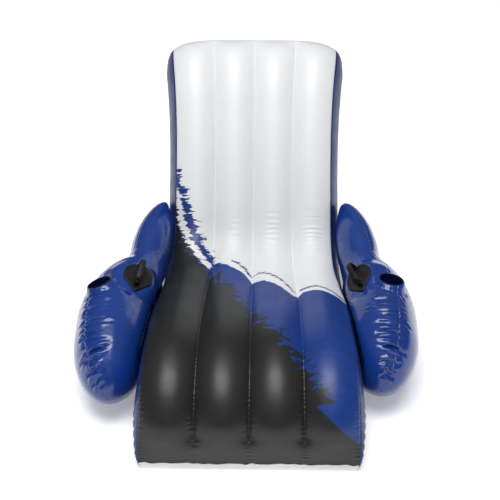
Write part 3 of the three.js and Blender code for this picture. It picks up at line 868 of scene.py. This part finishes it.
def arm_creases(arm, t, angle):
    seam = math.radians(arm.seam)
    along = arm.run(t)
    total = arm.runs[-1]
    away = (angle - seam) * ARM_GIRTH
    seed = 11 if arm.side > 0 else 23
    lines = scatter(seed, 60, PUCKERED[arm.name], 24, 50, 5.5, 7.5, 0.08, 3.0)
    fine = scatter(seed + 1, 30, PUCKERED[arm.name], 13, 26, 3.4, 2.2, 0.15, 4.4)
    rear = scatter(seed + 2, total * 0.5, total - 60, 70, 36, 4.0, 0.6)
    height = creases(along, away, lines + fine + rear + DEEP_FOLDS[arm.name])
    # Each weld is a narrow valley. The two sheets are welded again on the far side, under the arm, and that
    # weld is met going either way round.
    height -= 0.7 * np.exp(-(away / 5) ** 2)
    under_lines = scatter(seed + 3, 40, total - 60, 30, 60, 5.0, 2.4)
    for turn in (0, 2 * math.pi):
        under = (angle - seam + turn - SHEET_SHARE) * ARM_GIRTH
        height += creases(along, under, under_lines) - 1.6 * np.exp(-(under / 7) ** 2)
    ends = ease(t, 0.0, 0.02) * (1 - ease(t, 0.98, 1.0))
    return height * ends, along, away


def cup_creases(arm, points):
    """Short radial puckers round the cup's rim."""
    cup = arm.cup
    dx, dy = points[..., 0] - cup["x"], points[..., 1] - cup["y"]
    reach = np.hypot(dx, dy)
    bearing = np.arctan2(dy, dx)
    rng = np.random.default_rng(77 + arm.side)
    height = np.zeros(reach.shape)
    for _ in range(CUP_PUCKERS):
        at, width = rng.uniform(-math.pi, math.pi), rng.uniform(2.5, 5)
        length, depth = rng.uniform(22, 60), rng.uniform(0.5, 1.7)
        turn = (bearing - at + math.pi) % (2 * math.pi) - math.pi
        s = np.abs(turn) * reach / width
        window = ease(reach, 44, 54) * (1 - ease(reach, 50 + 0.4 * length, 54 + length))
        height += depth * window * crease_section(s)
    return height * (points[..., 2] > cup["z"] - 60)


def arm_sheet(arm, upper):
    seam = math.radians(arm.seam)
    start, end = (seam, seam + SHEET_SHARE) if upper else (seam + SHEET_SHARE, seam + 2 * math.pi)
    columns = int(ARM_COLUMNS * (end - start) / (2 * math.pi))
    s = np.linspace(0.002, 0.998, ARM_ROWS)
    t = (1 - np.cos(np.pi * s)) / 2
    t, angle = np.meshgrid(t, np.linspace(start, end, columns), indexing="ij")
    # Angles run on past a full turn, so bring the lower sheet's back to the seam's own side.
    near = np.where(angle > seam + math.pi * 1.5, angle - 2 * math.pi, angle)
    extra, along, away = arm_creases(arm, t, near)
    extra = extra + cup_creases(arm, arm.skin(angle, t))
    return t, arm.skin(angle, t, extra), dict(along=along / 1000, away=away / 1000)


def build_arm(config):
    arm = Arm(config)
    name, side, cup = arm.name, arm.side, arm.cup
    flip = np.array([side, 1, 1])
    valve_at = arm.mirrored(arm.valve_frame)
    cup_axis = frame_at([side * cup["x"], cup["y"], cup["z"]], [0, 0, 1], [1, 0, 0])
    for upper, which in ((True, "upper"), (False, "lower")):
        t, points, fields = arm_sheet(arm, upper)
        faces = grid_faces(*t.shape, flip=side < 0)
        points, faces = drop_disc(points * flip, faces, cup_axis, CUP["radius"] + GAP, 70)
        points, faces = drop_disc(points, faces, valve_at, VALVE["bore"] + 1, 20)
        points, faces, fields = keep_used(points, faces, fields)
        add_film(f"{name}_arm_{which}_film", points, faces, ARM_BLUE, "blue_vinyl",
                 f"{name}_arm_{which}_sheet", fields)
    build_cup(arm)
    build_handle(arm)
    build_valve(f"{name}_arm", valve_at, ARM_VALVE["size"])
    build_strip(name, side)


def build_strip(name, side):
    """The weld strip that joins an arm to the side wall."""
    y = np.linspace(STRIP["front"], STRIP["rear"], 60)
    z = np.linspace(STRIP["low"], STRIP["high"], 14)
    y, z = np.meshgrid(y, z, indexing="ij")
    ripple = 0.35 * np.sin(y / 11) * np.sin(np.pi * (z - STRIP["low"]) / (STRIP["high"] - STRIP["low"]))
    points = np.stack([side * (wall_limit(y) + STRIP["out"] + ripple), y, z], -1)
    add_film(f"{name}_joining_film", points, grid_faces(*y.shape, flip=side > 0), WALL_BLUE, "blue_vinyl",
             f"{name}_joining_strip")


def build_cup(arm):
    """A hanging cup: its rim lies on the tilted pad, its floor is level."""
    cup, side, name = arm.cup, arm.side, arm.name
    normal = arm.cup_normal * np.array([side, 1, 1])
    origin = np.array([side * cup["x"], cup["y"], cup["z"]])
    depth = CUP["depth"]

    def hang(points):
        share = np.minimum(1, 1 + points[:, 2] / depth)
        drop = share * (normal[0] * points[:, 0] + normal[1] * points[:, 1]) / normal[2]
        return origin + points - np.outer(drop, [0, 0, 1])

    rim = [(48.5, 0.5), (48.2, 1.0), (47.2, 1.4), (46.2, 1.5), (45.2, 1.2), (44.6, 0.4), (44.2, -1.0)]
    inner = [(43.9 - 0.4 * k / 12, -8.6 * k) for k in range(1, 13)] + [(43.2, -110), (42.6, -114)]
    outer = [(43.8, -114), (44.6, -108)]
    outer += [(44.9, -100 + 8 * k) for k in range(13)]
    outer += [(45.2, -0.6), (46.0, 0.5)]
    points, faces = lathe(rim + inner + outer, 96)
    angle = np.arctan2(points[:, 1], points[:, 0])
    down = -points[:, 2]
    slack = 0.7 * np.sin(angle * 7 - down / 21) * ease(down, 6, 40) * (1 - ease(down, 90, 110))
    points[:, :2] *= (1 - np.maximum(0, slack) / 44)[:, None]
    # The liner and the floor take the near-black blue as painted shade inside the cup.
    wall = tidy_mesh(make_mesh(f"{name}_cup_liner", hang(points), faces, CUP_SHADE_BLUE))
    stand_for(wall, "float", "blue_vinyl", f"{name}_cup_wall")
    plate = [(0, -115.6), (20, -115.4), (38, -115.0), (41.6, -114.2), (42.4, -112.6), (43.0, -112.6),
             (42.6, -115.4), (40, -116.6), (0, -116.8)]
    points, faces = lathe(plate, 96)
    floor = tidy_mesh(make_mesh(f"{name}_cup_base", hang(points), faces, CUP_SHADE_BLUE))
    stand_for(floor, "float", "blue_vinyl", f"{name}_cup_floor")


def teardrop(count=120):
    """The handle base's outline: round at the back, drawn to a blunt point at the front."""
    half, shoulder, tip = HANDLE["half_width"], HANDLE["shoulder"], HANDLE["tip"]
    back = HANDLE["rear"] - half
    round_end = [(back + half * math.sin(a), half * math.cos(a)) for a in np.linspace(0, math.pi, 40)]
    flank = [(shoulder + 10, -half), (shoulder - 6, -half + 5), (tip + 8, -11), (tip + 1, -5)]
    other_flank = [(x, -y) for x, y in reversed(flank)]
    closed = np.array(round_end + flank + [(tip, 0)] + other_flank + round_end[:1])
    run = np.concatenate([[0], np.cumsum(np.linalg.norm(np.diff(closed, axis=0), axis=1))])
    s = np.linspace(0, run[-1], count, endpoint=False)
    return np.stack([np.interp(s, run, closed[:, 0]), np.interp(s, run, closed[:, 1])], -1)


def handle_base():
    edge = teardrop()
    centre = np.array([-6.0, 0.0])
    low, top = HANDLE["seat"], HANDLE["seat"] + HANDLE["thick"]
    # Shares of the outline and their heights: a rim with a rounded edge round a sunk middle.
    rings = [(1.0, low), (1.0, low + 2.2), (0.985, low + 3.6), (0.955, low + 4.5), (0.91, top),
             (0.86, top - 0.2), (0.83, top - 1.6), (0.79, top - 2.4), (0.6, top - 2.6), (0.3, top - 2.6),
             (0.02, top - 2.6)]
    count = len(edge)
    points = [np.column_stack([centre + (edge - centre) * k, np.full(count, z)]) for k, z in rings]
    faces = between_rings(len(rings), count)
    faces += [tuple(range(count)), tuple((len(rings) - 1) * count + j for j in range(count))]
    return np.concatenate(points), faces


def handle_grip():
    """An arched bar of rounded section, low in front and rising to the rear."""
    path = [(-41, 5.5), (-41, 14), (-40, 23), (-33, 30), (-14, 36), (14, 44), (30, 46), (42, 44),
            (47, 36), (47, 22), (47, 5.5)]
    spots = spline(path, np.linspace(0, 1, 90))
    tangent = unit(np.gradient(spots, axis=0))
    along = np.linspace(0, 1, len(spots))
    foot = 1 - ease(along, 0, 0.2) + ease(along, 0.85, 1)
    turn = np.linspace(0, 2 * math.pi, 28, endpoint=False)
    square = 0.62  # below 1, the section is squarer than an ellipse
    wide, thick = (np.sign(wave) * np.abs(wave) ** square for wave in (np.cos(turn), np.sin(turn)))
    ridged = ease(along, 0.34, 0.4) * (1 - ease(along, 0.72, 0.78))
    ridges = 0.25 * np.maximum(0, np.sin(along * 2 * math.pi * 22)) * ridged
    half_wide = 12.4 + 0.6 * foot - 1.4 * np.sin(np.pi * along)
    half_thick = 4.6 + ridges
    section = np.stack([np.outer(half_wide, wide), np.outer(half_thick, thick)], -1)
    top = HANDLE["seat"] + HANDLE["thick"]
    centre = np.stack([spots[:, 0], np.zeros(len(spots)), spots[:, 1] + top], -1)
    out = np.stack([-tangent[:, 1], np.zeros(len(spots)), tangent[:, 0]], -1)
    across = np.tile([0.0, 1.0, 0.0], (len(spots), 1))
    return sweep(centre, across, out, section)


def bored(item, cutter):
    """Cuts the cutter's shape out of the item for good."""
    cut = item.modifiers.new("bore", "BOOLEAN")
    cut.operation = "DIFFERENCE"
    cut.solver = "EXACT"
    cut.object = cutter
    bpy.context.view_layer.update()
    solid = bpy.data.meshes.new_from_object(item.evaluated_get(bpy.context.evaluated_depsgraph_get()))
    item.modifiers.clear()
    item.data = solid
    bpy.data.objects.remove(cutter)
    return item


def pin(radius, start, end, height, sides=32):
    """A pin along x with softened ends."""
    points, faces = lathe(disc(radius, start, end, min(0.8, radius / 3)), sides)
    return np.stack([points[:, 2], points[:, 1], points[:, 0] + height], -1), faces


# The lugs in front and behind: (from, to) of the lug and (from, to) of its pin, along the handle.
LUGS = [(-54.5, -46.8, -48, -37), (52.8, 60.5, 43, 54)]
LUG_WIDTH = 16
LUG_HEIGHT = 22
PIN_RADIUS = 3.6


def build_handle(arm):
    at = arm.mirrored(arm.handle_frame)
    name = arm.name
    top = HANDLE["seat"] + HANDLE["thick"]
    level = top + HANDLE["pin_height"]
    base = [handle_base()]
    for start, end, pin_start, pin_end in LUGS:
        middle = ((start + end) / 2, 0, top - 3 + LUG_HEIGHT / 2)
        base.append(rounded_box((end - start, LUG_WIDTH, LUG_HEIGHT), middle, 2.4, 4))
        base.append(pin(PIN_RADIUS, pin_start, pin_end, level))
    points, faces = joined(*base)
    item = tidy_mesh(make_mesh(f"{name}_handle_plate", placed(points, at), faces, RUBBER))
    smooth_by_angle(item, 50)
    stand_for(item, "float", "black_rubber", f"{name}_handle_base")
    points, faces = handle_grip()
    grip = tidy_mesh(make_mesh(f"{name}_handle_bar", placed(points, at), faces, RUBBER))
    points, faces = pin(PIN_RADIUS + 0.5, -70, 70, level)
    bored(grip, tidy_mesh(make_mesh("bore", placed(points, at), faces, RUBBER)))
    smooth_by_angle(grip, 50)
    stand_for(grip, f"{name}_handle_grip", "black_rubber", f"{name}_handle_grip")


# ---- valves --------------------------------------------------------------------------------------
VALVE = dict(flange=21, flange_thick=1.6, bore=9.6, stem=8, hole=5.6, depth=17, collar=11.5, collar_thick=1.5,
             cap=11, cap_thick=2, hinge=16.5, nose=6)


def disc(radius, low, high, soft=0.4):
    """A disc's outline with softened edges."""
    return [(0, low), (radius - soft, low), (radius, low + soft), (radius, high - soft),
            (radius - soft, high), (0, high)]


def build_valve(prefix, at, k):
    v = SimpleNamespace(**{key: value * k for key, value in VALVE.items()})
    base = GAP
    top = base + v.flange_thick
    collar_low = top + GAP
    collar_top = collar_low + v.collar_thick
    cap_low = collar_top + GAP
    cap_top = cap_low + v.cap_thick
    deep = collar_top - v.depth
    flap_top = deep - GAP
    plug_low = cap_low + 0.2

    def part(suffix, body, *shapes):
        points, faces = joined(*shapes)
        item = make_mesh(f"{prefix}_{suffix}_moulding", placed(points, at), faces, PLASTIC)
        smooth_by_angle(tidy_mesh(item), 40)
        stand_for(item, body, "valve_plastic", f"{prefix}_valve_{suffix}")

    lip = [(v.bore, base), (v.flange - 0.6, base), (v.flange, base + 0.5), (v.flange - 0.5, top - 0.8),
           (v.flange * 0.8, top - 0.5), (v.flange * 0.72, top), (v.bore + 0.4, top), (v.bore, top - 0.4)]
    part("flange", "float", lathe(lip))
    tube = [(v.hole, deep), (v.stem - 0.5, deep), (v.stem, deep + 0.5), (v.stem, collar_low),
            (v.collar - 0.4, collar_low), (v.collar, collar_low + 0.4), (v.collar, collar_top - 0.4),
            (v.collar - 0.4, collar_top), (v.hole + 0.4, collar_top), (v.hole, collar_top - 0.4)]
    ear = rounded_box((v.hinge - v.stem + 2 * k - 0.6, 6 * k, v.collar_thick),
                      ((v.hinge + v.stem) / 2 + 0.3, 0, (collar_low + collar_top) / 2), 0.4)
    part("stem", f"{prefix}_valve_stem", lathe(tube), ear)
    crown = [(0, cap_low), (v.cap - 0.4, cap_low), (v.cap, cap_low + 0.4), (v.cap, cap_top - 0.6),
             (v.cap - 0.6, cap_top), (v.cap * 0.62, cap_top), (v.cap * 0.56, cap_top - 0.5),
             (0, cap_top - 0.5)]
    plug = [(0, plug_low), (v.hole - 0.5 * k, plug_low), (v.hole - 0.6 * k, cap_low - v.nose * 0.6),
            (v.hole - 1.6 * k, plug_low - v.nose), (0, plug_low - v.nose)]
    tab = rounded_box((8 * k, 7 * k, v.cap_thick * 0.8),
                      (-v.cap - 2.5 * k, 0, cap_low + v.cap_thick / 2), 0.6)
    strap = rounded_box((v.hinge - v.cap + 4 * k, 5 * k, 0.9 * k),
                        ((v.hinge + v.cap) / 2 - 0.5 * k, 0, cap_low + 0.45 * k), 0.3)
    part("cap", f"{prefix}_valve_cap", lathe(crown), lathe(plug), tab, strap)
    flap = disc(v.stem - 0.5 * k, flap_top - 0.8 * k, flap_top, 0.2)
    part("flap", f"{prefix}_valve_flap", lathe(flap))


# ---- build ---------------------------------------------------------------------------------------
build_valve("body", build_mattress(), BODY_VALVE["size"])
for wall_side, wall_name in ((1, "left"), (-1, "right")):
    build_wall(wall_side, wall_name)
build_head_hem()
build_webs()
for arm_config in ARMS:
    build_arm(arm_config)


# ---- studio --------------------------------------------------------------------------------------
def build_floor():
    half, level = 30.0, -0.0004
    mesh = bpy.data.meshes.new("studio_floor")
    corners = [(-half, -half, level), (half, -half, level), (half, half, level), (-half, half, level)]
    mesh.from_pydata(corners, [], [(0, 1, 2, 3)])
    floor = bpy.data.objects.new("studio_floor", mesh)
    bpy.context.collection.objects.link(floor)
    m = Look("studio_floor_look", 0.9)
    m.set("Base Color", (0.93, 0.93, 0.935, 1))
    m.set("Specular IOR Level", 0.1)
    m.set("Emission Color", (1, 1, 1, 1))
    # The floor glows as painted light: weakly within 0.45 m of its middle, where the float's shadows fall,
    # and more strongly beyond 1.8 m.
    reach = m.add("ShaderNodeVectorMath", {0: m.place()}, "Value", operation="LENGTH")
    m.set("Emission Strength", m.step(reach, 0.45, 1.8, 0.26, 0.62))
    mesh.materials.append(m.material)


def build_world():
    """A bright sky overhead that dims towards the horizon."""
    world = bpy.data.worlds.new("studio_world")
    world.use_nodes = True
    bpy.context.scene.world = world
    nodes = Nodes(world.node_tree)
    rise = nodes.add("ShaderNodeSeparateXYZ", {0: nodes.place("Generated")}, "Z")
    sky = nodes.tree.nodes["Background"].inputs
    nodes.join((1, 1, 1, 1), sky["Color"])
    nodes.join(nodes.step(rise, 0.0, 1.0, 0.06, 0.32), sky["Strength"])


def add_light(name, place, target, width, height, power):
    light = bpy.data.lights.new(name, "AREA")
    light.shape = "RECTANGLE"
    light.size, light.size_y = width, height
    light.energy = power
    item = bpy.data.objects.new(name, light)
    item.location = place
    item.rotation_euler = (Vector(target) - Vector(place)).to_track_quat("-Z", "Y").to_euler()
    bpy.context.collection.objects.link(item)


def build_camera():
    """Looks down from in front of the foot end."""
    hip = Vector((0, 0.12, 0.28))
    elevation, turn, distance = math.radians(32), math.radians(0.7), 3.55
    level = math.cos(elevation)
    back = Vector((math.sin(turn) * level, -math.cos(turn) * level, math.sin(elevation)))
    camera = bpy.data.cameras.new("camera")
    camera.sensor_width = 36
    camera.lens = 59.4
    item = bpy.data.objects.new("camera", camera)
    item.location = hip + back * distance
    aim = hip + Vector((-0.0116, 0, 0))
    item.rotation_euler = (aim - item.location).to_track_quat("-Z", "Y").to_euler()
    bpy.context.collection.objects.link(item)
    bpy.context.scene.camera = item


build_floor()
build_world()
add_light("overhead_softbox", (-0.5, -1.1, 6.2), (-0.5, -1.1, 0.0), 4.4, 6.0, 70)
add_light("front_fill", (0, -4.5, 2.6), (0, 0, 0.3), 3.0, 1.5, 5)
add_light("key_softbox", (-0.3, -1.75, 5.6), (0, -0.4, 0.3), 3.8, 2.8, 262)
build_camera()
bpy.context.scene.view_settings.view_transform = "Standard"
